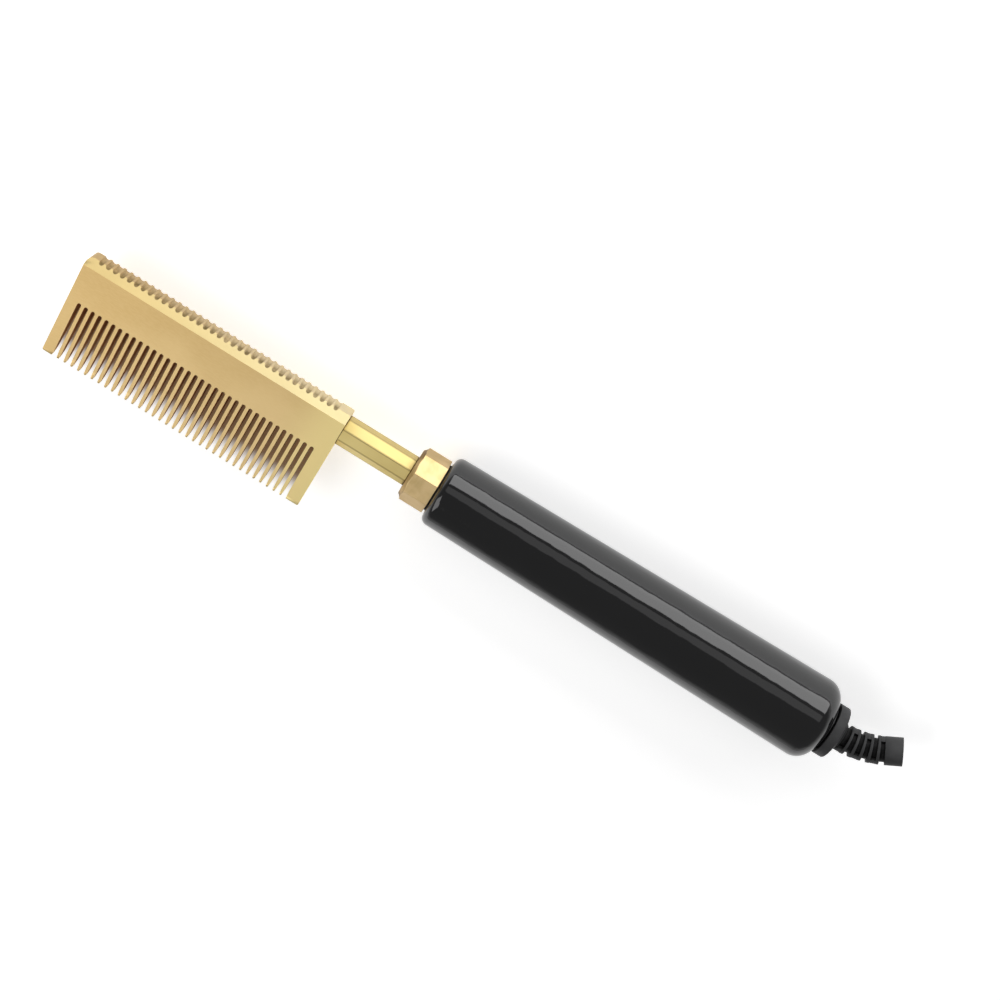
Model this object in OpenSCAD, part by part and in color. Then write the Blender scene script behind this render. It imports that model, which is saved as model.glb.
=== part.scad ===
// Electric hot comb: a heated brass comb on an octagonal shank, locked by a
// nut to a tapered handle, with a cord guard that swivels at the rear.
// It lies on its side: X runs along the handle towards the cord, Y towards
// the comb's grooved back and Z up, away from the surface it lies on.

/* [Comb head] */
// Length of the comb head
head_l = 100; // [90:1:120]
// Thickness of the spine across its shoulders
spine_t = 12.1; // [11.6:0.1:14]
// Width of the flat, grooved back
back_w = 6.5; // [5:0.1:8]
// Height of the back above the shank's axis
back_h = 6.8; // [6.5:0.1:9]
// Depth of the slots' roots below the shank's axis
root_h = 9.4; // [8:0.1:12]
// Length of a tooth from root to tip
tooth_l = 23; // [15:0.5:30]
// Thickness of a tooth at its tip
tip_t = 2.3; // [1.6:0.1:3]
// Distance between neighbouring teeth
tooth_pitch = 2.64; // [2.4:0.02:4]
// Width of the slot between two teeth
slot_w = 1.46; // [1:0.02:1.6]
// Width of the end tooth at the free end
outer_end_w = 3.9; // [3:0.1:6]
// Least width of the end tooth beside the shank
inner_end_w = 4; // [3.5:0.1:6]
// Length over which a tooth narrows to its tip
tip_taper_l = 3.2; // [2:0.1:5]
// Width that is left at the very tip
tip_w = 0.45; // [0.3:0.05:0.8]
// Radius of the back's corner at the free end
back_corner_r = 1.9; // [0.5:0.1:2.2]
// Radius of the back's corner beside the shank
shank_corner_r = 0.8; // [0.4:0.1:1.4]
// Radius of the end teeth's corners
end_corner_r = 1; // [0.4:0.1:1.4]
// Radius of a groove across the back
groove_r = 0.92; // [0.8:0.02:1.2]
// Depth of a groove across the back
groove_d = 0.85; // [0.5:0.05:1.1]

/* [Heater] */
// Diameter of the cartridge heater
heater_d = 8; // [7:0.1:8.5]
// Length of the cartridge heater
heater_l = 78; // [60:1:80]
// Wall of the heater's metal sheath
sheath_t = 0.5; // [0.4:0.05:0.8]
// Length of the ceramic seal in the sheath's end
seal_l = 4; // [3:0.5:6]
// Diameter of a lead wire
lead_d = 1.2; // [1:0.1:1.4]
// Distance between the two heater leads
lead_gap = 3.2; // [3:0.1:3.4]
// Wall of the glass-fibre sleeve over a heater lead
sleeve_t = 0.35; // [0.2:0.05:0.4]

/* [Shank and nut] */
// Octagonal shank, across its flats
shank_af = 10.1; // [9.8:0.1:10.8]
// Length of the shank between comb and nut
shank_l = 26.4; // [15:0.5:40]
// Diameter of the shank's bore for the leads
shank_bore_d = 6.5; // [6.4:0.1:7]
// Diameter of the spigot that holds the comb
spigot_d = 9; // [8.6:0.1:9.4]
// Length of the spigot inside the comb
spigot_l = 8; // [5:0.5:10]
// Diameter of the shank's threaded stem
stem_d = 9.6; // [9.2:0.1:9.7]
// Octagonal lock nut, across its flats
nut_af = 18.4; // [17:0.1:19.6]
// Length of the lock nut
nut_l = 10.1; // [7:0.1:14]
// Length of the cone that ends the lock nut's front
nut_cone_l = 1.2; // [1:0.1:2.5]
// Diameter of the lock nut's front face
nut_face_d = 16.4; // [13:0.1:17]
// Thickness of the fibre washer under the lock nut
washer_t = 0.6; // [0.4:0.1:1]
// Back nut inside the handle, across its flats
back_nut_af = 14; // [13:0.5:15]
// Thickness of the back nut
back_nut_t = 5; // [3:0.5:6]
// Thickness of the steel washer under the back nut
back_washer_t = 0.8; // [0.5:0.1:1.2]
// Length of thread that stands past the back nut
stem_end_l = 2; // [1:0.5:4]

/* [Handle] */
// Length of the handle
handle_l = 152.5; // [145:0.5:175]
// Diameter of the handle at its front end
front_d = 25.4; // [24.4:0.1:27]
// Diameter of the handle at its rear end
rear_d = 29.4; // [28.6:0.1:32]
// Radius of the front edge
front_r = 2.8; // [2:0.1:3.2]
// Radius of the rear edge
rear_r = 6.4; // [4:0.1:6.6]
// Diameter of the hollow inside the handle
hollow_d = 18.2; // [18:0.1:19]
// Thickness of the handle's rear wall
rear_wall_t = 6.3; // [5:0.1:8]
// Length of the insulating bush in the front end
bush_l = 18; // [12:1:24]

/* [Wiring] */
// Depth of the carrier's floor below the axis
floor_h = 4.5; // [4.2:0.1:5]
// Width inside the carrier's side walls
carrier_w = 13.4; // [13.2:0.1:14]
// Length of the terminal block
block_l = 18; // [14:1:22]
// Distance between the two terminals
pole_gap = 7.2; // [6.6:0.1:7.4]
// Outer diameter of a terminal barrel
barrel_d = 3.8; // [3.4:0.1:4]
// Bore of a terminal barrel
barrel_bore_d = 1.5; // [1.4:0.1:1.8]
// Diameter of a terminal screw's head
screw_head_d = 3; // [2.6:0.1:3.2]
// Diameter of a terminal screw's thread
screw_d = 2; // [1.6:0.1:2.2]
// Diameter of the thermal fuse
fuse_d = 3.6; // [3:0.1:4]
// Length of the thermal fuse
fuse_l = 11; // [8:0.5:14]
// Thickness of the fuse clip's strip
clip_strip_t = 0.5; // [0.4:0.05:0.7]

/* [Swivel] */
// Length of the contact housing
housing_l = 26; // [25:0.5:30]
// Diameter of the spindle's journal
journal_d = 11; // [10.6:0.1:11.4]
// Outer diameter of the bearing bush
bearing_d = 15; // [14:0.1:15.4]
// Diameter of the bearing bush's rim
bearing_rim_d = 16.4; // [15.8:0.1:16.6]
// Thickness of the bearing bush's rim
bearing_rim_t = 0.5; // [0.5:0.1:1.2]
// Diameter of the front slip ring
small_ring_d = 8.4; // [8:0.1:8.6]
// Diameter of the rear slip ring
large_ring_d = 10.4; // [10:0.1:10.5]
// Width of a slip ring
ring_w = 4.5; // [3.5:0.1:5]
// Diameter of the bore for the cord's cores
core_bore_d = 3.6; // [3:0.1:4]
// Thickness of a spring contact
finger_t = 0.4; // [0.3:0.05:0.5]
// Width of a spring contact
finger_w = 3; // [2:0.1:3.4]
// Thickness of the retaining clip
clip_t = 1; // [0.8:0.1:1.4]
// Diameter of the retaining clip
clip_d = 14.2; // [13.4:0.1:14.6]
// Depth of the clip's groove in the spindle
clip_groove_d = 0.5; // [0.3:0.05:0.7]

/* [Collar and cord guard] */
// Diameter of the swivel collar
collar_d = 19; // [18.6:0.1:21]
// Length of the collar's straight rim
collar_rim_l = 3.7; // [2.6:0.1:5]
// Length of the collar's rear bevel
collar_bevel_l = 1.1; // [0.8:0.1:1.8]
// Diameter of the collar's rear opening
collar_mouth_d = 11.3; // [11.2:0.1:13]
// Diameter of the cord guard's bore
cord_bore_d = 6.6; // [6:0.1:7]
// Wall of the thin sleeve inside the guard's ribs
sleeve_wall_t = 0.6; // [0.4:0.05:0.8]
// Diameter of the guard's neck before the first gap
guard_neck_d = 9; // [8.8:0.1:9.6]
// Diameter of the first rib
first_rib_d = 10.1; // [10:0.1:11]
// Diameter of the guard's end
guard_end_d = 9.8; // [9.4:0.1:10]
// Length of the cone from the collar to the first rib
guard_cone_l = 1.2; // [1:0.1:3]
// Distance between neighbouring ribs
rib_pitch = 2.75; // [2.6:0.05:3.4]
// Width of the gap between two ribs
rib_gap = 1.75; // [1.2:0.05:1.8]
// Number of gaps along the guard
gap_count = 6; // [4:1:9]
// Angle through which the guard bends
guard_bend = 30; // [10:1:45]
// Length of the plain, straight end
guard_end_l = 6; // [4:0.5:10]
// Angle round the guard that each web spans
web_span = 80; // [60:1:100]
// Length of the crimp that grips the cord's jacket
crimp_l = 3; // [2:0.5:3]

/* [Fits] */
// Gap around a piece that is pressed or seated in another
seat_gap = 0.02; // [0.01:0.01:0.05]
// Gap around the turning journal
run_gap = 0.05; // [0.02:0.01:0.1]
// Gap between turning and fixed faces
face_gap = 0.2; // [0.1:0.05:0.4]
// Gap between the bearing's rim and the collar
collar_gap = 0.3; // [0.3:0.1:0.8]

/* [Hidden] */
$fn = 72;
over = 1;

// Stations along the axis, from the handle's front face at zero
nut_x = -washer_t - nut_l;
head_end_x = nut_x - shank_l;
head_x = head_end_x - head_l;
back_washer_x = bush_l;
back_nut_x = back_washer_x + back_washer_t;
stem_end_x = back_nut_x + back_nut_t + stem_end_l;
rear_wall_x = handle_l - rear_wall_t;
clip_x = rear_wall_x - face_gap - clip_t;
housing_x = clip_x - face_gap - housing_l;
collar_x = handle_l + bearing_rim_t + collar_gap;

// Comb head
tip_y = -root_h - tooth_l;
shoulder_y = back_h - (spine_t - back_w) / 2;
tip_flare = (tooth_pitch - slot_w - tip_w) / 2;
slot_count = floor((head_l - outer_end_w - inner_end_w - slot_w) / tooth_pitch) + 1;
slot_stations = [for (i = [0 : slot_count - 1]) head_x + outer_end_w + slot_w / 2 + i * tooth_pitch];

// Heater
socket_x = head_end_x - spigot_l - seat_gap;
heater_x = socket_x - heater_l;
sheath_in_r = heater_d / 2 - sheath_t;
core_end_x = socket_x - seal_l;
lead_entry_l = 6;
lead_hole_r = lead_d / 2 + seat_gap;
sleeve_r = lead_hole_r + sleeve_t;

// Wiring
block_x = stem_end_x + 16;
block_w = pole_gap + barrel_d + 2;
block_top = floor_h;
barrel_inset = 1;
screw_inset = 4.5;
screw_head_t = 1;
fuse_x = (block_x + block_l + housing_x) / 2 - fuse_l / 2;
wire_bend_l = 8;
carrier_x = stem_end_x + over;
carrier_wall_top = -0.5;
rib_floor_t = 2;

// Swivel
spindle_x = housing_x + 7;
small_ring_x = spindle_x + 1;
large_ring_x = small_ring_x + ring_w + 3;
journal_x = large_ring_x + ring_w;
small_seat_r = small_ring_d / 2 - 1.2;
large_seat_r = large_ring_d / 2 - 1.2;
contact_bore_r = large_ring_d / 2 + 1.2;
finger_tail_l = 4;
spindle_rim_t = 1.4;
spindle_rim_r = bearing_rim_d / 2;
clip_slot_w = 4;

// Collar and cord guard
guard_flange_r = spindle_rim_r - 0.5;
guard_root_r = collar_mouth_d / 2 - seat_gap;
collar_end_x = collar_x + collar_rim_l + collar_bevel_l;
lip_x = collar_x + collar_rim_l - 0.45;
guard_x = collar_x + spindle_rim_t + seat_gap;
bend_x = collar_end_x + guard_cone_l;
sleeve_out_r = cord_bore_d / 2 + sleeve_wall_t;
rib_t = rib_pitch - rib_gap;
bend_l = gap_count * rib_pitch - rib_t;
bend_r = bend_l / (guard_bend * PI / 180);
web_turn = 20;
crimp_r = cord_bore_d / 2 + 1.3;

// Handle's edges: centres of the two rounded edges, as radius and station
taper = atan((rear_d - front_d) / 2 / handle_l);
front_c = [front_d / 2 + front_r * tan(taper) - front_r / cos(taper), front_r];
rear_c = [rear_d / 2 - rear_r * tan(taper) - rear_r / cos(taper), handle_l - rear_r];
widest_r = rear_c[0] + rear_r;

// Overall box, for the origin at the middle of its underside
end_x = bend_x + bend_r * sin(guard_bend) + guard_end_l * cos(guard_bend)
    + guard_end_d / 2 * sin(guard_bend);
mid_x = (head_x + end_x) / 2;
mid_y = (tip_y + widest_r) / 2;
axis_h = widest_r;

// Moves a piece from the axis to the model's origin
module placed() {
    translate([-mid_x, -mid_y, axis_h]) children();
}

// Cylinder along X from x0 to x1
module rod(x0, x1, r) {
    translate([x0, 0, 0]) rotate([0, 90, 0]) cylinder(h = x1 - x0, r = r);
}

// Cone along X from radius r0 at x0 to radius r1 at x1
module cone(x0, x1, r0, r1) {
    translate([x0, 0, 0]) rotate([0, 90, 0]) cylinder(h = x1 - x0, r1 = r0, r2 = r1);
}

// Tube along X
module tube(x0, x1, r_out, r_in) {
    difference() {
        rod(x0, x1, r_out);
        rod(x0 - over, x1 + over, r_in);
    }
}

// Regular prism along X with flats facing up and down
module prism(x0, x1, across_flats, sides) {
    translate([x0, 0, 0]) rotate([0, 90, 0]) rotate([0, 0, 180 / sides])
        cylinder(h = x1 - x0, r = across_flats / 2 / cos(180 / sides), $fn = sides);
}

// Block from corner a to corner b
module block(a, b) {
    translate(a) cube(b - a);
}

// Round wire through the given points; its slanted stretches are a little thinner
module wire(points, r) {
    for (i = [0 : len(points) - 2]) {
        a = points[i];
        d = points[i + 1] - a;
        slanted = d[1] != 0;
        translate([a[0], a[1], 0]) rotate([0, 0, atan2(d[1], d[0])])
            rod(slanted ? -r / 4 : 0, norm(d) + (slanted ? r / 4 : 0), slanted ? 0.9 * r : r);
    }
}

// Rectangle from a to b with rounded corners: both lower ones, upper left, upper right
module rounded_plate(a, b, low_r, left_r, right_r) {
    w = b[0] - a[0];
    big = max(left_r, right_r);
    translate([a[0], a[1] + low_r]) square([w, b[1] - a[1] - low_r - big]);
    translate([a[0] + low_r, a[1]]) square([w - 2 * low_r, 2 * low_r]);
    translate([a[0] + left_r, b[1] - 2 * big]) square([w - left_r - right_r, 2 * big]);
    translate([a[0], b[1] - 2 * big]) square([w / 2, 2 * big - left_r]);
    translate([a[0] + w / 2, b[1] - 2 * big]) square([w / 2, 2 * big - right_r]);
    for (x = [a[0] + low_r, b[0] - low_r]) translate([x, a[1] + low_r]) circle(low_r);
    translate([a[0] + left_r, b[1] - left_r]) circle(left_r);
    translate([b[0] - right_r, b[1] - right_r]) circle(right_r);
}

// Slot between two teeth: a round root above and a flare at the tips
module slot_outline() {
    half = slot_w / 2;
    translate([0, -root_h - half]) circle(half);
    polygon([
        [-half, -root_h - half], [half, -root_h - half],
        [half, tip_y + tip_taper_l],
        [half + tip_flare * 0.45, tip_y + tip_taper_l * 0.25],
        [half + tip_flare, tip_y], [half + tip_flare, tip_y - over],
        [-half - tip_flare, tip_y - over], [-half - tip_flare, tip_y],
        [-half - tip_flare * 0.45, tip_y + tip_taper_l * 0.25],
        [-half, tip_y + tip_taper_l]
    ]);
}

// Comb seen on its broad face
module comb_outline() {
    difference() {
        rounded_plate([head_x, tip_y], [head_end_x, back_h], end_corner_r, back_corner_r, shank_corner_r);
        for (x = slot_stations) translate([x, 0]) slot_outline();
    }
}

// Comb's cross-section: bevelled back, then a wedge down to the tips
module comb_section() {
    tip_c = tip_y + tip_t / 2;
    polygon([
        [back_h, back_w / 2], [back_h, -back_w / 2],
        [shoulder_y, -spine_t / 2], [tip_c, -0.47 * tip_t],
        [tip_c, 0.47 * tip_t], [shoulder_y, spine_t / 2]
    ]);
}

module comb_head() {
    color("goldenrod") placed() difference() {
        intersection() {
            translate([0, 0, -spine_t]) linear_extrude(2 * spine_t) comb_outline();
            union() {
                translate([head_x, 0, 0]) rotate([90, 0, 90]) linear_extrude(head_l) comb_section();
                translate([0, tip_y + tip_t / 2, 0]) rod(head_x, head_end_x, tip_t / 2);
            }
        }
        for (x = slot_stations) translate([x, back_h + groove_r - groove_d, -spine_t])
            cylinder(h = 2 * spine_t, r = groove_r);
        rod(heater_x - seat_gap, head_end_x + over, heater_d / 2 + seat_gap);
        rod(socket_x, head_end_x + over, spigot_d / 2 + seat_gap);
    }
}

module heater_sheath() {
    color("silver") placed() difference() {
        rod(heater_x, socket_x, heater_d / 2);
        rod(heater_x + sheath_t, socket_x + over, sheath_in_r);
    }
}

module lead_holes(x0, x1) {
    for (side = [-1, 1]) translate([0, side * lead_gap / 2, 0]) rod(x0, x1, lead_hole_r);
}

module heater_core() {
    color("beige") placed() difference() {
        rod(heater_x + sheath_t, core_end_x, sheath_in_r - seat_gap);
        lead_holes(core_end_x - lead_entry_l, core_end_x + over);
    }
}

module heater_seal() {
    color("ivory") placed() difference() {
        rod(core_end_x, socket_x, sheath_in_r - seat_gap);
        lead_holes(core_end_x - over, socket_x + over);
    }
}

module heater_leads() {
    color("gray") placed() for (side = [-1, 1]) wire([
        [core_end_x - lead_entry_l, side * lead_gap / 2],
        [stem_end_x + 3, side * lead_gap / 2],
        [stem_end_x + 3 + wire_bend_l, side * pole_gap / 2],
        [block_x + block_l / 2 - over, side * pole_gap / 2]
    ], lead_d / 2);
}

module lead_sleeves() {
    color("wheat") placed() for (side = [-1, 1]) translate([0, side * lead_gap / 2, 0])
        tube(socket_x, stem_end_x + 2, sleeve_r, lead_hole_r);
}

module octagonal_shank() {
    color("goldenrod") placed() difference() {
        union() {
            rod(head_end_x - spigot_l, head_end_x + over, spigot_d / 2);
            prism(head_end_x, nut_x, shank_af, 8);
            rod(nut_x - over, stem_end_x, stem_d / 2);
        }
        rod(head_end_x - spigot_l - over, stem_end_x + over, shank_bore_d / 2);
    }
}

module lock_nut() {
    color("gold") placed() difference() {
        intersection() {
            prism(nut_x, nut_x + nut_l, nut_af, 8);
            union() {
                cone(nut_x, nut_x + nut_cone_l, nut_face_d / 2, nut_af / 2 + 0.2);
                rod(nut_x + nut_cone_l, nut_x + nut_l, nut_af);
            }
        }
        rod(nut_x - over, nut_x + nut_l + over, stem_d / 2 + run_gap);
    }
}

module lock_washer() {
    color("saddlebrown") placed()
        tube(nut_x + nut_l, 0, nut_af / 2 - 0.6, stem_d / 2 + run_gap);
}

module front_bush() {
    color("ivory") placed()
        tube(0, bush_l, hollow_d / 2 - seat_gap, stem_d / 2 + run_gap);
}

module back_washer() {
    color("silver") placed()
        tube(back_washer_x, back_washer_x + back_washer_t, back_nut_af / 2 + 1, stem_d / 2 + run_gap);
}

module back_nut() {
    color("silver") placed() difference() {
        prism(back_nut_x, back_nut_x + back_nut_t, back_nut_af, 6);
        rod(back_nut_x - over, back_nut_x + back_nut_t + over, stem_d / 2 + run_gap);
    }
}

// Half-section of the handle: radius across, station along the axis upwards
module handle_profile() {
    outward = [cos(taper), -sin(taper)];
    polygon([
        [0, 0], [front_c[0], 0], front_c, front_c + front_r * outward,
        rear_c + rear_r * outward, rear_c, [rear_c[0], handle_l], [0, handle_l]
    ]);
    translate(front_c) circle(front_r);
    translate(rear_c) circle(rear_r);
}

module handle_shell() {
    color("dimgray") placed() difference() {
        rotate([0, 90, 0]) rotate_extrude() handle_profile();
        rod(-over, rear_wall_x, hollow_d / 2);
        rod(0, handle_l + over, bearing_d / 2 + seat_gap);
    }
}

module inner_carrier() {
    color("tan") placed() difference() {
        rod(carrier_x, housing_x, hollow_d / 2 - seat_gap);
        block([carrier_x - over, -hollow_d, carrier_wall_top], [housing_x + over, hollow_d, hollow_d]);
        block([carrier_x - over, -carrier_w / 2, -floor_h], [housing_x + over, carrier_w / 2, hollow_d]);
        block(
            [carrier_x - over, -carrier_w / 2 + rib_floor_t, -hollow_d],
            [block_x - rib_floor_t, carrier_w / 2 - rib_floor_t, -floor_h - rib_floor_t]
        );
        block(
            [block_x + block_l + rib_floor_t, -carrier_w / 2 + rib_floor_t, -hollow_d],
            [housing_x - rib_floor_t, carrier_w / 2 - rib_floor_t, -floor_h - rib_floor_t]
        );
    }
}

module terminal_block() {
    screw_x = [block_x + screw_inset, block_x + block_l - screw_inset];
    color("white") placed() difference() {
        block([block_x, -block_w / 2, -floor_h + seat_gap], [block_x + block_l, block_w / 2, block_top]);
        for (side = [-1, 1]) translate([0, side * pole_gap / 2, 0]) {
            rod(block_x - over, block_x + block_l + over, barrel_d / 2 + seat_gap);
            for (x = screw_x) translate([x, 0, 0]) cylinder(h = hollow_d, r = screw_head_d / 2 + run_gap);
        }
    }
}

module terminal_barrels() {
    screw_x = [block_x + screw_inset, block_x + block_l - screw_inset];
    color("goldenrod") placed() for (side = [-1, 1]) translate([0, side * pole_gap / 2, 0]) difference() {
        rod(block_x + barrel_inset, block_x + block_l - barrel_inset, barrel_d / 2);
        rod(block_x, block_x + block_l, barrel_bore_d / 2);
        for (x = screw_x) translate([x, 0, 0]) cylinder(h = hollow_d, r = screw_d / 2 + seat_gap);
    }
}

module terminal_screws() {
    screw_x = [block_x + screw_inset, block_x + block_l - screw_inset];
    color("silver") placed() for (side = [-1, 1], x = screw_x) translate([x, side * pole_gap / 2, 0]) {
        translate([0, 0, lead_d / 2 + seat_gap])
            cylinder(h = block_top - screw_head_t - lead_d / 2, r = screw_d / 2);
        translate([0, 0, block_top - screw_head_t]) difference() {
            cylinder(h = screw_head_t, r = screw_head_d / 2);
            translate([-screw_head_d, -0.2, screw_head_t / 2]) cube([2 * screw_head_d, 0.4, screw_head_t]);
        }
    }
}

module thermal_fuse() {
    color("gainsboro") placed() translate([0, pole_gap / 2, 0]) rod(fuse_x, fuse_x + fuse_l, fuse_d / 2);
}

module fuse_clip() {
    clip_w = 4;
    ring_r = fuse_d / 2 + seat_gap + clip_strip_t;
    color("silver") placed() translate([fuse_x + fuse_l / 2 - clip_w / 2, pole_gap / 2, 0]) {
        difference() {
            union() {
                rod(0, clip_w, ring_r);
                block([0, -clip_strip_t, -floor_h + seat_gap], [clip_w, clip_strip_t, 0]);
                block(
                    [0, -ring_r, -floor_h + seat_gap],
                    [clip_w, ring_r, -floor_h + seat_gap + clip_strip_t]
                );
            }
            rod(-over, clip_w + over, fuse_d / 2 + seat_gap);
            block([-over, -fuse_d / 3, 0], [clip_w + over, fuse_d / 3, hollow_d]);
        }
    }
}

// Inner face of each spring contact, where it rides on its slip ring
function finger_y(ring_d) = ring_d / 2 + run_gap;

module supply_leads() {
    wire_r = lead_d / 2;
    tail_y = finger_y(large_ring_d) - wire_r;
    start_x = block_x + block_l / 2 + over;
    end_x = housing_x - seat_gap;
    tail_x = end_x - finger_tail_l;
    color("firebrick") placed() {
        wire([[start_x, pole_gap / 2], [fuse_x, pole_gap / 2]], wire_r);
        wire([
            [fuse_x + fuse_l, pole_gap / 2], [tail_x - wire_bend_l, pole_gap / 2],
            [tail_x, tail_y], [end_x, tail_y]
        ], wire_r);
        wire([
            [start_x, -pole_gap / 2], [tail_x - wire_bend_l, -pole_gap / 2],
            [tail_x, -tail_y], [end_x, -tail_y]
        ], wire_r);
    }
}

module contact_housing() {
    front_wall_t = 3;
    tail_y = finger_y(large_ring_d);
    color("black") placed() difference() {
        rod(housing_x, housing_x + housing_l, hollow_d / 2 - seat_gap);
        rod(housing_x + front_wall_t, housing_x + housing_l + over, contact_bore_r);
        for (side = [-1, 1]) block(
            [housing_x - over, side * (tail_y + finger_t / 2) - finger_t / 2 - seat_gap, -finger_w / 2 - seat_gap],
            [housing_x + front_wall_t + over, side * (tail_y + finger_t / 2) + finger_t / 2 + seat_gap,
                finger_w / 2 + seat_gap]
        );
    }
}

// Strip that leaves the housing's front wall and ends on a slip ring
module finger(ring_x, ring_d) {
    tail_y = finger_y(large_ring_d);
    drop = finger_y(large_ring_d) - finger_y(ring_d);
    bend_x0 = housing_x + 4;
    block([housing_x - finger_tail_l, tail_y, -finger_w / 2], [bend_x0 + finger_t, tail_y + finger_t, finger_w / 2]);
    block([bend_x0, tail_y - drop, -finger_w / 2], [bend_x0 + finger_t, tail_y + finger_t, finger_w / 2]);
    block(
        [bend_x0, tail_y - drop, -finger_w / 2],
        [ring_x + ring_w - 0.5, tail_y - drop + finger_t, finger_w / 2]
    );
}

module spring_contacts() {
    color("orange") placed() {
        finger(small_ring_x, small_ring_d);
        mirror([0, 1, 0]) finger(large_ring_x, large_ring_d);
    }
}

module bearing_bush() {
    color("dimgray") placed() difference() {
        union() {
            rod(rear_wall_x, handle_l + over / 2, bearing_d / 2);
            rod(handle_l, handle_l + bearing_rim_t, bearing_rim_d / 2);
        }
        rod(rear_wall_x - over, collar_x, journal_d / 2 + run_gap);
    }
}

module swivel_spindle() {
    color("darkslategray") placed() difference() {
        union() {
            rod(spindle_x, small_ring_x + ring_w + over, small_seat_r);
            rod(small_ring_x + ring_w, journal_x + over, large_seat_r);
            rod(journal_x, collar_x + over, journal_d / 2);
            rod(collar_x, collar_x + spindle_rim_t, spindle_rim_r);
        }
        rod(spindle_x - over, collar_x + spindle_rim_t + over, core_bore_d / 2);
        tube(clip_x - seat_gap, clip_x + clip_t + seat_gap, journal_d, journal_d / 2 - clip_groove_d);
    }
}

module slip_rings() {
    color("gold") placed() {
        tube(small_ring_x, small_ring_x + ring_w - seat_gap, small_ring_d / 2, small_seat_r + seat_gap);
        tube(large_ring_x, large_ring_x + ring_w - seat_gap, large_ring_d / 2, large_seat_r + seat_gap);
    }
}

module retaining_clip() {
    color("silver") placed() difference() {
        tube(clip_x, clip_x + clip_t, clip_d / 2, journal_d / 2 - clip_groove_d + seat_gap);
        block([clip_x - over, 0, -clip_slot_w / 2], [clip_x + clip_t + over, clip_d, clip_slot_w / 2]);
    }
}

module swivel_collar() {
    color("dimgray") placed() difference() {
        union() {
            rod(collar_x, collar_x + collar_rim_l, collar_d / 2);
            cone(collar_x + collar_rim_l, collar_end_x, collar_d / 2, collar_mouth_d / 2 + 0.6);
        }
        rod(collar_x - over, collar_x + spindle_rim_t, spindle_rim_r + seat_gap);
        rod(collar_x, lip_x, guard_flange_r + seat_gap);
        rod(collar_x, collar_end_x + over, collar_mouth_d / 2);
    }
}

// Piece of the bent guard between two arc lengths, swept from children
module bent(s0, s1) {
    turn = 180 / PI / bend_r;
    translate([bend_x, bend_r, 0]) rotate([0, 0, s0 * turn - 90])
        rotate_extrude(angle = (s1 - s0) * turn) translate([bend_r, 0]) children();
}

// Carries children to the straight end of the guard
module at_guard_end() {
    translate([bend_x, bend_r, 0]) rotate([0, 0, guard_bend]) translate([0, -bend_r, 0]) children();
}

function rib_r(i) = (first_rib_d + (guard_end_d - first_rib_d) * i / (gap_count - 1)) / 2;

// Web on one side of a gap, on the opposite side in the next
module web_section(i) {
    reach = 2 * first_rib_d;
    intersection() {
        circle(rib_r(i) - 0.1);
        rotate(web_turn + 180 * (i % 2))
            polygon([[-over, 0], [reach, -reach * tan(web_span / 2)], [reach, reach * tan(web_span / 2)]]);
    }
}

module cord_guard() {
    sink = rib_t / 6;
    color("dimgray") placed() difference() {
        union() {
            rod(guard_x, lip_x - seat_gap, guard_flange_r);
            rod(guard_x, collar_end_x, guard_root_r);
            cone(collar_end_x, bend_x, guard_root_r, guard_neck_d / 2);
            bent(-sink, bend_l + sink) circle(sleeve_out_r);
            for (i = [0 : gap_count - 1])
                bent(i * rib_pitch - sink, i * rib_pitch + rib_gap + sink) web_section(i);
            for (i = [0 : gap_count - 2])
                bent(i * rib_pitch + rib_gap, (i + 1) * rib_pitch) circle(rib_r(i));
            at_guard_end() rod(0, guard_end_l, guard_end_d / 2);
        }
        rod(guard_x - over, bend_x, cord_bore_d / 2);
        bent(0, bend_l) circle(cord_bore_d / 2);
        at_guard_end() rod(0, guard_end_l + over, cord_bore_d / 2);
        rod(guard_x - over, guard_x + crimp_l, crimp_r + seat_gap);
    }
}

module cord_crimp() {
    color("silver") placed() tube(guard_x, guard_x + crimp_l - seat_gap, crimp_r, cord_bore_d / 2);
}

comb_head();
heater_sheath();
heater_core();
heater_seal();
heater_leads();
lead_sleeves();
octagonal_shank();
lock_nut();
lock_washer();
front_bush();
back_washer();
back_nut();
handle_shell();
inner_carrier();
terminal_block();
terminal_barrels();
terminal_screws();
thermal_fuse();
fuse_clip();
supply_leads();
contact_housing();
spring_contacts();
bearing_bush();
swivel_spindle();
slip_rings();
retaining_clip();
swivel_collar();
cord_guard();
cord_crimp();
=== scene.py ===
import math
import bpy
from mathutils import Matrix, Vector

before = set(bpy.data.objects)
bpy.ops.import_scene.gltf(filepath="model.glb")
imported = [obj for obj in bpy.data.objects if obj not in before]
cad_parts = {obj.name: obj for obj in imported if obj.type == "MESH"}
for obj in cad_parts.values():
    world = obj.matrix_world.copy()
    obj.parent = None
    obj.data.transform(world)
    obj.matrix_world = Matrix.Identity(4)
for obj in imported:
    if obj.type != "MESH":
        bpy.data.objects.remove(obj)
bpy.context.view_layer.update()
print("frame loaded:", len(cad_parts), "pieces")


def pieceBox(node):  # lowest and highest corner of a piece, in millimetres
    spots = [vertex.co * 1000 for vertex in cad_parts[node].data.vertices]
    return [[pick(spot[side] for spot in spots) for side in range(3)] for pick in (min, max)]


combLow, combHigh = pieceBox("comb_head")
shankLow, shankHigh = pieceBox("octagonal_shank")
axisY, axisZ = [(shankLow[side] + shankHigh[side]) / 2 for side in (1, 2)]  # of shank, nut and handle


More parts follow.
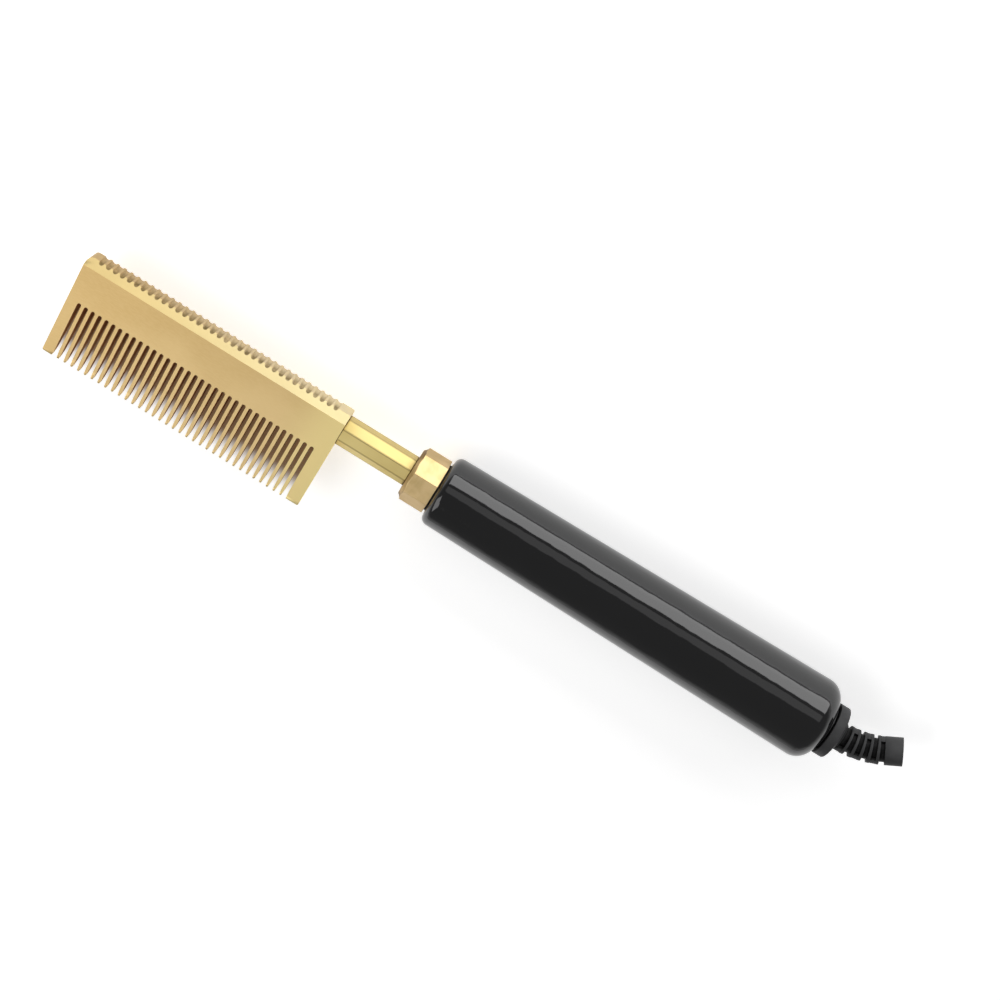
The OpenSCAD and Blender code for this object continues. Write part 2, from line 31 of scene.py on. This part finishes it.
# A socket that adds nodes when it is used in an expression
class Link:
    def __init__(self, shader, socket):
        self.shader, self.socket = shader, socket

    def maths(self, operation, *values):
        return self.shader.add("ShaderNodeMath", {"operation": operation}, dict(enumerate(values)))

    def __add__(self, other):
        return self.maths("ADD", self, other)

    def __radd__(self, other):
        return self.maths("ADD", other, self)

    def __sub__(self, other):
        return self.maths("SUBTRACT", self, other)

    def __rsub__(self, other):
        return self.maths("SUBTRACT", other, self)

    def __mul__(self, other):
        return self.maths("MULTIPLY", self, other)

    def __rmul__(self, other):
        return self.maths("MULTIPLY", other, self)

    def __truediv__(self, other):
        return self.maths("DIVIDE", self, other)

    def __rtruediv__(self, other):
        return self.maths("DIVIDE", other, self)

    def __abs__(self):
        return self.maths("ABSOLUTE", self)

    def cosine(self):
        return self.maths("COSINE", self)

    def angle(self, across):  # of the direction (across, self), in radians
        return self.maths("ARCTAN2", self, across)

    def swing(self, amount):  # a noise as a change that goes both ways
        return (self - 0.5) * amount

    def clamped(self, low, high):  # 0 at low, 1 at high, smooth between
        return self.shader.add("ShaderNodeMapRange", {"interpolation_type": "SMOOTHSTEP"},
                               {"Value": self, "From Min": low, "From Max": high})


class Shader:
    def __init__(self, owner, output="ShaderNodeOutputMaterial"):
        self.owner = owner
        owner.use_nodes = True
        self.tree = owner.node_tree
        self.tree.nodes.clear()
        self.output = self.tree.nodes.new(output)

    def add(self, kind, settings=None, sockets=None, out=0):
        made = self.tree.nodes.new(kind)
        for key, value in (settings or {}).items():
            setattr(made, key, value)
        for key, value in (sockets or {}).items():
            if isinstance(value, Link):
                self.tree.links.new(value.socket, made.inputs[key])
            else:
                made.inputs[key].default_value = value
        return Link(self, made.outputs[out])

    def mixColours(self, factor, first, second):
        return self.add("ShaderNodeMix", {"data_type": "RGBA"}, {0: factor, 6: first, 7: second}, out=2)

    def axes(self, output):  # x, y and z of the object's coordinates or of its surface normal
        split = self.add("ShaderNodeSeparateXYZ", {}, {0: self.add("ShaderNodeTexCoord", out=output)})
        return [Link(self, socket) for socket in split.socket.node.outputs]

    def millimetres(self):  # x, y and z of the object's coordinates
        return [axis * 1000 for axis in self.axes("Object")]

    def place(self, stretch=(1, 1, 1)):  # object coordinates in millimetres, stretched
        coords = self.add("ShaderNodeTexCoord", out="Object")
        return self.add("ShaderNodeMapping", {}, {"Vector": coords, "Scale": [1000 * s for s in stretch]})

    def noise(self, scale, place=None, detail=2):
        return self.add("ShaderNodeTexNoise", {},
                        {"Vector": place or self.place(), "Scale": scale, "Detail": detail})

    def shadeByOcclusion(self, reach, low=0.3, high=0.8):  # 1 deep in corners and gaps, 0 in the open; ambient occlusion that paints shade into colours
        openness = self.add("ShaderNodeAmbientOcclusion", {"samples": 8}, {"Distance": reach}, out="AO")
        return 1 - openness.clamped(low, high)

    def bump(self, height, strength, distance):
        return self.add("ShaderNodeBump", {},
                        {"Height": height, "Strength": strength, "Distance": distance})

    def show(self, surface):
        self.tree.links.new(surface.socket, self.output.inputs["Surface"])
        return self.owner

    def finish(self, sockets):
        return self.show(self.add("ShaderNodeBsdfPrincipled", {}, sockets))


def rgb(red, green, blue):
    return (red, green, blue, 1)


def newShader(name):
    return Shader(bpy.data.materials.new(name))


# In every look a reach or a depth is in metres, and a band is where something fades in.
# All metals share soft clouds and fine lines; where a look has a corner colour, faces also get painted
# shade by the way they face.
metalLook = {
    "cloud": 0.05, "cloudBand": (0.35, 0.65), "cloudRough": 0.08,
    "lineDetail": 4, "lineBand": (0.3, 0.7), "lineAmount": 0.25, "depth": 0.00002,
    "upwardBand": (0.2, 0.6), "alongBand": (0.25, 0.6), "toothBand": (0.3, 0.7),
}

# Shank, nut and small metal pieces
# corner is the brown of painted shade in corners and on faces that look along the axis, sideways or
# towards the teeth (front, sides, toothSide); it also darkens the shank's edges
goldLooks = {
    "shankGold": {
        "deep": rgb(0.71, 0.56, 0.215), "light": rgb(0.81, 0.66, 0.28), "line": rgb(0.82, 0.70, 0.34),
        "corner": rgb(0.16, 0.09, 0.03), "cornerReach": 0.0012,
        "front": 0.3, "sides": 0.33, "toothSide": 0.04, "flats": 8, "edges": 0.45, "edgeBand": (-1, -0.75),
        "grain": (0.12, 3, 3), "rough": 0.52, "roughSpread": 0.10, "bump": 0.10},
    "nutGold": {
        "deep": rgb(0.62, 0.445, 0.195), "light": rgb(0.81, 0.60, 0.305), "line": rgb(0.84, 0.66, 0.38),
        "corner": rgb(0.16, 0.09, 0.03), "cornerReach": 0.003, "cloud": 0.13,
        "front": 0.42, "sides": 0.4, "toothSide": 0.36,
        "grain": (0.9, 0.6, 0.6), "rough": 0.46, "roughSpread": 0.12, "bump": 0.08},
    "terminalBrass": {
        "deep": rgb(0.70, 0.52, 0.25), "light": rgb(0.80, 0.62, 0.32), "line": rgb(0.85, 0.7, 0.4),
        "grain": (0.3, 3, 3), "rough": 0.32, "roughSpread": 0.12, "bump": 0.1},
    "contactBronze": {
        "deep": rgb(0.60, 0.38, 0.21), "light": rgb(0.70, 0.46, 0.26), "line": rgb(0.78, 0.55, 0.34),
        "grain": (0.3, 3, 3), "rough": 0.3, "roughSpread": 0.12, "bump": 0.1},
    "plainSteel": {
        "deep": rgb(0.50, 0.50, 0.51), "light": rgb(0.62, 0.62, 0.63), "line": rgb(0.72, 0.72, 0.73),
        "grain": (0.3, 3, 3), "rough": 0.34, "roughSpread": 0.14, "bump": 0.1},
    "nickelWire": {
        "deep": rgb(0.46, 0.45, 0.43), "light": rgb(0.58, 0.57, 0.55), "line": rgb(0.68, 0.67, 0.65),
        "grain": (0.2, 6, 6), "rough": 0.4, "roughSpread": 0.1, "bump": 0.1},
    "fuseCase": {
        "deep": rgb(0.66, 0.66, 0.68), "light": rgb(0.76, 0.76, 0.78), "line": rgb(0.82, 0.82, 0.84),
        "grain": (0.2, 4, 4), "rough": 0.36, "roughSpread": 0.1, "bump": 0.08},
}


def metalLines(s, look):
    return s.noise(1, s.place(look["grain"]), metalLook["lineDetail"])


def metalRough(look, lines, cloud):
    return look["rough"] + lines.swing(look["roughSpread"]) + cloud.swing(metalLook["cloudRough"])


def paintedFacingShade(s, look):  # painted shade on faces that look along the axis, sideways or towards the teeth
    along, level, upright = s.axes("Normal")
    upward = abs(upright).clamped(*metalLook["upwardBand"])
    facingShade = abs(along).clamped(*metalLook["alongBand"]) * look["front"] + (1 - upward) * look["sides"]
    facingShade = facingShade + (0 - level).clamped(*metalLook["toothBand"]) * upward * look["toothSide"]
    return facingShade.clamped(0, 1)


def edgeDarkening(s, look):  # colour darkened along the edges between the flats round the axis
    y, z = s.millimetres()[1:]
    turn = (y - axisY).angle(z - axisZ) * look["flats"]
    return (1 - turn.cosine().clamped(*look["edgeBand"])) * look["edges"]


def goldMetal(name, look):
    s = newShader(name)
    lines = metalLines(s, look)
    cloud = s.noise(look.get("cloud", metalLook["cloud"]))
    colour = s.mixColours(cloud.clamped(*metalLook["cloudBand"]), look["deep"], look["light"])
    lined = lines.clamped(*metalLook["lineBand"]) * metalLook["lineAmount"]
    colour = s.mixColours(lined, colour, look["line"])
    if "corner" in look:
        # painted shade: corners darkened by ambient occlusion, and faces darkened by the way they face
        colour = s.mixColours(s.shadeByOcclusion(look["cornerReach"]), colour, look["corner"])
        colour = s.mixColours(paintedFacingShade(s, look), colour, look["corner"])
    # darker along the edges between the flats
    if "edges" in look:
        colour = s.mixColours(edgeDarkening(s, look), colour, look["corner"])
    return s.finish({"Base Color": colour, "Metallic": 1, "Roughness": metalRough(look, lines, cloud),
                     "Normal": s.bump(lines, look["bump"], metalLook["depth"])})


# The comb's gold, with painted light and shade: painted lighter at the roots and towards the shank, a
# painted tone on the sloping bevel's highlight, painted shade on the back face, and painted shade browning
# the slots and grooves.
# Its bands for slots, tips, back and grooves are in millimetres.
combLook = {
    "deep": rgb(0.70, 0.49, 0.21), "light": rgb(0.93, 0.71, 0.36), "cloud": 0.045,
    "warmth": 0.55, "warmAlong": 0.25, "warmCloud": 0.7, "warmLoss": 0.3, "warmBand": (-2, 14),
    "line": rgb(0.94, 0.76, 0.42), "lineAmount": 0.15, "grain": (0.5, 2.2, 2.2),
    "end": rgb(1.0, 0.83, 0.39), "endBand": (0.55, 1), "endAmount": 0.9,
    "bevel": rgb(0.60, 0.47, 0.215), "bevelEnd": rgb(0.66, 0.57, 0.32),
    "bevelBand": (0.3, 0.48), "bevelAmount": 0.9,
    "slot": rgb(0.55, 0.29, 0.13), "slotRough": 0.4, "slotHalf": (47.6, 48.4),
    "rootDepth": 9.4, "rootBand": (0.3, 1.2), "tipBand": (0.6, 4),
    "land": rgb(0.45, 0.32, 0.155), "landEnd": rgb(0.64, 0.55, 0.37),
    "landAmount": 0.8, "landUneven": 0.5, "backBand": (-3, -2.5),
    "groove": rgb(0.16, 0.11, 0.03), "grooveAmount": 0.66, "grooveUneven": 1.0, "unevenScale": 0.35,
    "grooveBand": (0.085, 0.85), "grooveHeight": (10.2, 17.2),
    "rough": 0.55, "roughSpread": 0.06, "bump": 0.06,
}


def combGold(name, look):
    s = newShader(name)
    lines = metalLines(s, look)
    cloud = s.noise(look["cloud"])
    uneven = s.noise(look["unevenScale"])
    x, y, z = s.millimetres()
    level, upright = [abs(axis) for axis in s.axes("Normal")[1:]]
    fromMiddle = x - (combLow[0] + combHigh[0]) / 2
    station = fromMiddle / ((combHigh[0] - combLow[0]) / 2)  # -1 at the free end, 1 at the shank
    overRoots = y - (axisY - look["rootDepth"])

    # painted light: warmer and lighter towards the shank and near the roots, over a random tone
    warmth = look["warmth"] + station * look["warmAlong"] + cloud.swing(look["warmCloud"])
    warmth = warmth - overRoots.clamped(*look["warmBand"]) * look["warmLoss"]
    colour = s.mixColours(warmth.clamped(0, 1), look["deep"], look["light"])
    lined = lines.clamped(*metalLook["lineBand"]) * look["lineAmount"]
    colour = s.mixColours(lined, colour, look["line"])
    # painted light: a lighter yellow towards the shank end
    colour = s.mixColours(station.clamped(*look["endBand"]) * look["endAmount"], colour, look["end"])

    # painted highlight tone: the sloping bevel, where the long box's highlight falls, gets its own colour,
    # lighter towards the shank
    bevel = s.mixColours(station.clamped(-1, 1), look["bevel"], look["bevelEnd"])
    sloping = (level * upright).clamped(*look["bevelBand"])
    colour = s.mixColours(sloping * look["bevelAmount"], colour, bevel)

    # painted shade: the walls of the slots between the teeth are browned and no longer metal
    edgeOn = 1 - upright.clamped(*metalLook["upwardBand"])
    inside = 1 - abs(fromMiddle).clamped(*look["slotHalf"])
    below = (1 - overRoots.clamped(*look["rootBand"])) * (y - combLow[1]).clamped(*look["tipBand"])
    slot = edgeOn * below * inside
    colour = s.mixColours(slot, colour, look["slot"])

    # painted shade: the back face is darker, less so towards the shank, with random unevenness
    back = edgeOn * (y - combHigh[1]).clamped(*look["backBand"])
    land = s.mixColours(station.clamped(-1, 1), look["land"], look["landEnd"])
    colour = s.mixColours(back * (look["landAmount"] + uneven.swing(look["landUneven"])), colour, land)

    # painted shade: the grooves on the back are darkened, most near the top, fading lower down
    groove = back * (combHigh[1] - y).clamped(*look["grooveBand"]) * inside
    groove = groove * z.clamped(*look["grooveHeight"])
    groove = groove * (look["grooveAmount"] + uneven.swing(look["grooveUneven"]))
    colour = s.mixColours(groove.clamped(0, 1), colour, look["groove"])
    rough = metalRough(look, lines, cloud) + slot * look["slotRough"]
    return s.finish({"Base Color": colour, "Metallic": 1 - slot, "Roughness": rough,
                     "Normal": s.bump(lines, look["bump"], metalLook["depth"])})


# Black lacquer with a faint long-wave unevenness
lacquerLook = {
    "colour": rgb(0.0050, 0.0050, 0.0054), "deeper": rgb(0.0035, 0.0035, 0.0038), "ior": 1.64,
    "waveScale": 0.12, "waveStretch": (0.6, 1, 1), "wave": 7, "peelScale": 0.9, "peel": 0.3,
    "bump": 0.6, "depth": 0.00004,
    "rough": 0.07, "waveRough": 0.03, "speckScale": 4, "speckRough": 0.08,
}


def lacquer(name, look):
    s = newShader(name)
    wave = s.noise(look["waveScale"], s.place(look["waveStretch"]))
    height = wave * look["wave"] + s.noise(look["peelScale"]) * look["peel"]
    speck = s.noise(look["speckScale"])
    rough = look["rough"] + speck.swing(look["speckRough"]) + wave.swing(look["waveRough"])
    return s.finish({"Base Color": s.mixColours(wave, look["deeper"], look["colour"]), "IOR": look["ior"],
                     "Roughness": rough, "Normal": s.bump(height, look["bump"], look["depth"])})


# Moulded, pressed and fired pieces: one grain function, many looks
grainLook = {"detail": 3, "cloud": 0.12, "cloudBand": (0.3, 0.7), "gapBand": (0.6, 0.97), "ior": 1.47}

mouldedLooks = {
    "guardBlack": {
        "deep": rgb(0.044, 0.044, 0.045), "light": rgb(0.062, 0.062, 0.063), "ior": 1.22,
        "gap": rgb(0.0006, 0.0006, 0.0006), "gapReach": 0.004,
        "grain": 5, "rough": 0.52, "roughSpread": 0.16, "bump": 0.25, "depth": 0.00003},
    "collarBlack": {
        "deep": rgb(0.042, 0.042, 0.043), "light": rgb(0.056, 0.056, 0.057), "ior": 1.3,
        "gap": rgb(0.002, 0.002, 0.002), "gapReach": 0.002,
        "grain": 6, "rough": 0.5, "roughSpread": 0.14, "bump": 0.25, "depth": 0.00003},
    "bearingBlack": {
        "deep": rgb(0.010, 0.010, 0.011), "light": rgb(0.016, 0.016, 0.017),
        "grain": 4, "rough": 0.35, "roughSpread": 0.1, "bump": 0.1, "depth": 0.00002},
    "carrierBlack": {
        "deep": rgb(0.05, 0.05, 0.05), "light": rgb(0.07, 0.07, 0.07),
        "grain": 4, "rough": 0.55, "roughSpread": 0.14, "bump": 0.2, "depth": 0.00003},
    "pressedFibre": {
        "deep": rgb(0.010, 0.008, 0.006), "light": rgb(0.022, 0.016, 0.012),
        "grain": 2.5, "rough": 0.8, "roughSpread": 0.2, "bump": 0.5, "depth": 0.00006},
    "firedCeramic": {
        "deep": rgb(0.72, 0.69, 0.61), "light": rgb(0.80, 0.77, 0.70),
        "grain": 3, "rough": 0.6, "roughSpread": 0.2, "bump": 0.3, "depth": 0.00004},
    "wireCover": {
        "deep": rgb(0.36, 0.035, 0.03), "light": rgb(0.46, 0.05, 0.045),
        "grain": 2, "rough": 0.4, "roughSpread": 0.1, "bump": 0.1, "depth": 0.00002},
}


def moulded(name, look):
    s = newShader(name)
    grain = s.noise(look["grain"], detail=grainLook["detail"])
    cloud = s.noise(grainLook["cloud"])
    colour = s.mixColours(cloud.clamped(*grainLook["cloudBand"]), look["deep"], look["light"])
    # painted shade: gaps and corners are darkened by ambient occlusion
    if "gap" in look:
        colour = s.mixColours(s.shadeByOcclusion(look["gapReach"], *grainLook["gapBand"]), colour, look["gap"])
    return s.finish({"Base Color": colour, "IOR": look.get("ior", grainLook["ior"]),
                     "Roughness": look["rough"] + grain.swing(look["roughSpread"]),
                     "Normal": s.bump(grain, look["bump"], look["depth"])})


# Woven glass-fibre sleeve: two diagonal sets of threads that cross
fibreLook = {
    "deep": rgb(0.66, 0.62, 0.52), "light": rgb(0.85, 0.82, 0.74), "threads": 1.6, "distortion": 0.4,
    "rough": 0.75, "roughSpread": 0.1, "bump": 0.6, "depth": 0.00008,
}


def woven(name, look):
    s = newShader(name)
    twist, weft = [s.add("ShaderNodeTexWave", {"wave_type": "BANDS", "bands_direction": "DIAGONAL"},
                         {"Vector": s.place((1, way, 1)), "Scale": look["threads"],
                          "Distortion": look["distortion"]}) for way in (1, -1)]
    weave = twist * 0.5 + weft * 0.5
    return s.finish({"Base Color": s.mixColours(weave, look["deep"], look["light"]),
                     "Roughness": look["rough"] + weave.swing(look["roughSpread"]),
                     "Normal": s.bump(weave, look["bump"], look["depth"])})


finishes = {name: goldMetal(name, look) for name, look in goldLooks.items()}
finishes.update({name: moulded(name, look) for name, look in mouldedLooks.items()})
finishes["combGold"] = combGold("combGold", combLook)
finishes["blackLacquer"] = lacquer("blackLacquer", lacquerLook)
finishes["glassSleeve"] = woven("glassSleeve", fibreLook)

nodeFinishes = {
    "comb_head": "combGold", "octagonal_shank": "shankGold", "lock_nut": "nutGold",
    "handle_shell": "blackLacquer", "swivel_collar": "collarBlack", "cord_guard": "guardBlack",
    "swivel_spindle": "collarBlack", "bearing_bush": "bearingBlack", "lock_washer": "pressedFibre",
    "heater_sheath": "plainSteel", "back_washer": "plainSteel", "back_nut": "plainSteel",
    "terminal_screws": "plainSteel", "fuse_clip": "plainSteel", "retaining_clip": "plainSteel",
    "cord_crimp": "plainSteel", "heater_leads": "nickelWire", "thermal_fuse": "fuseCase",
    "heater_core": "firedCeramic", "heater_seal": "firedCeramic", "front_bush": "firedCeramic",
    "terminal_block": "firedCeramic", "inner_carrier": "carrierBlack", "contact_housing": "carrierBlack",
    "terminal_barrels": "terminalBrass", "slip_rings": "terminalBrass", "spring_contacts": "contactBronze",
    "supply_leads": "wireCover", "lead_sleeves": "glassSleeve",
}
for node, finish in nodeFinishes.items():
    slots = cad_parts[node].data.materials
    slots.clear()
    slots.append(finishes[finish])
print("finishes set:", len(nodeFinishes))

# Small rounded edges that catch the light: widths in metres, angles in degrees
weldDistance = 0.000001
edgeRounds = {
    "comb_head": {"width": 0.0002, "segments": 2, "angle": 34},
    "octagonal_shank": {"width": 0.0003, "segments": 2, "angle": 30},
    "lock_nut": {"width": 0.0009, "segments": 5, "angle": 20},
    "swivel_collar": {"width": 0.0003, "segments": 3, "angle": 30},
    "cord_guard": {"width": 0.00012, "segments": 2, "angle": 40},
}


def roundEdges(node, look):
    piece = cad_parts[node]
    weld = piece.modifiers.new("weld", "WELD")
    weld.merge_threshold = weldDistance
    bevel = piece.modifiers.new("bevel", "BEVEL")
    bevel.width, bevel.segments = look["width"], look["segments"]
    bevel.limit_method, bevel.angle_limit = "ANGLE", math.radians(look["angle"])
    bevel.harden_normals = True


for node, look in edgeRounds.items():
    roundEdges(node, look)
print("edges rounded:", len(edgeRounds))

# White floor and pale room, in metres; a warm dark shadow is painted on the floor where the comb hangs
# close over it
roomLook = {
    "floorSize": 12, "floorColour": rgb(0.94, 0.94, 0.94), "floorRough": 0.9, "floorGlow": 0.5,
    "floorShade": rgb(0.20, 0.125, 0.07), "shadeGlow": rgb(0.044, 0.025, 0.013),
    "shadeReach": 0.04, "shadeBand": (0.8, 1.05), "shadeX": -0.1112, "shadeHalfX": (0.0465, 0.0515),
    "shadeTip": (-0.0295, -0.0195), "shadeBack": (0.002, 0.007),
    "ambient": 0.22, "horizon": 0.7, "horizonHeight": 0.3,
}


def makeFloor(look):
    bpy.ops.mesh.primitive_plane_add(size=look["floorSize"], location=(0, 0, 0))
    floor = bpy.context.object
    floor.name = "floor"
    s = newShader("floorWhite")
    x, y = s.axes("Object")[:2]
    # painted shadow: ambient occlusion inside a box under the comb
    under = 1 - abs(x - look["shadeX"]).clamped(*look["shadeHalfX"])
    under = under * y.clamped(*look["shadeTip"]) * (1 - y.clamped(*look["shadeBack"]))
    clear = 1 - s.shadeByOcclusion(look["shadeReach"], *look["shadeBand"]) * under
    seen = s.add("ShaderNodeLightPath", out="Is Camera Ray")
    for ray in ("Is Glossy Ray", "Is Transmission Ray"):
        seen = seen + s.add("ShaderNodeLightPath", out=ray)
    bright = look["floorGlow"]
    # the floor's glow also takes the painted shadow's warm dark tone under the comb
    glow = s.mixColours(clear, look["shadeGlow"], rgb(bright, bright, bright))
    glow = s.mixColours(seen, rgb(0, 0, 0), glow)
    colour = s.mixColours(clear, look["floorShade"], look["floorColour"])
    floor.data.materials.append(s.finish({"Base Color": colour, "Roughness": look["floorRough"],
                                          "Emission Color": glow, "Emission Strength": 1}))


def makeRoom(look):
    room = bpy.data.worlds.new("room")
    bpy.context.scene.world = room
    s = Shader(room, "ShaderNodeOutputWorld")
    height = s.axes("Generated")[2].clamped(0, look["horizonHeight"])  # paler towards the horizon
    low, high = [rgb(level, level, level) for level in (look["horizon"], look["ambient"])]
    s.show(s.add("ShaderNodeBackground", {}, {"Color": s.mixColours(height, low, high), "Strength": 1}))


makeFloor(roomLook)
makeRoom(roomLook)

# Soft boxes: centre, aim, width and height, and glow, the brightness of their face
lampLooks = {
    "longBox": {"at": (0.06, 0.865, 0.345), "aim": (0.0, 0, 0.01), "size": (1.3, 0.53), "glow": 2.65},
    "highBox": {"at": (0.05, 0.58, 0.855), "aim": (0.0, 0, 0.01), "size": (1.3, 0.36), "glow": 0.46},
    "faceBox": {"at": (-0.495, -0.32, 0.70), "aim": (-0.11, 0, 0.0), "size": (0.74, 0.72), "glow": 1.95},
}


def makeLamp(name, look):
    data = bpy.data.lights.new(name, "AREA")
    data.shape = "RECTANGLE"
    data.size, data.size_y = look["size"]
    data.energy = look["glow"] * math.pi * look["size"][0] * look["size"][1]
    lamp = bpy.data.objects.new(name, data)
    bpy.context.scene.collection.objects.link(lamp)
    lamp.location = look["at"]
    lamp.rotation_mode = "QUATERNION"
    lamp.rotation_quaternion = (Vector(look["aim"]) - Vector(look["at"])).to_track_quat("-Z", "Y")
    lamp.visible_camera = False


for name, look in lampLooks.items():
    makeLamp(name, look)

# Camera: place in metres, turn in degrees, lens and sensor in millimetres
cameraLook = {
    "at": (-0.04015, 0.28341, 0.67652), "turn": (-20.3293, 8.9254, 30.6708),
    "lens": 77.485, "sensor": 36, "nearest": 0.01,
}


def makeCamera(look):
    data = bpy.data.cameras.new("camera")
    data.sensor_width, data.lens = look["sensor"], look["lens"]
    data.clip_start = look["nearest"]
    camera = bpy.data.objects.new("camera", data)
    bpy.context.scene.collection.objects.link(camera)
    camera.location = look["at"]
    camera.rotation_euler = [math.radians(degrees) for degrees in look["turn"]]
    bpy.context.scene.camera = camera


makeCamera(cameraLook)
bpy.context.scene.view_settings.view_transform = "Standard"
print("room, lamps and camera set")
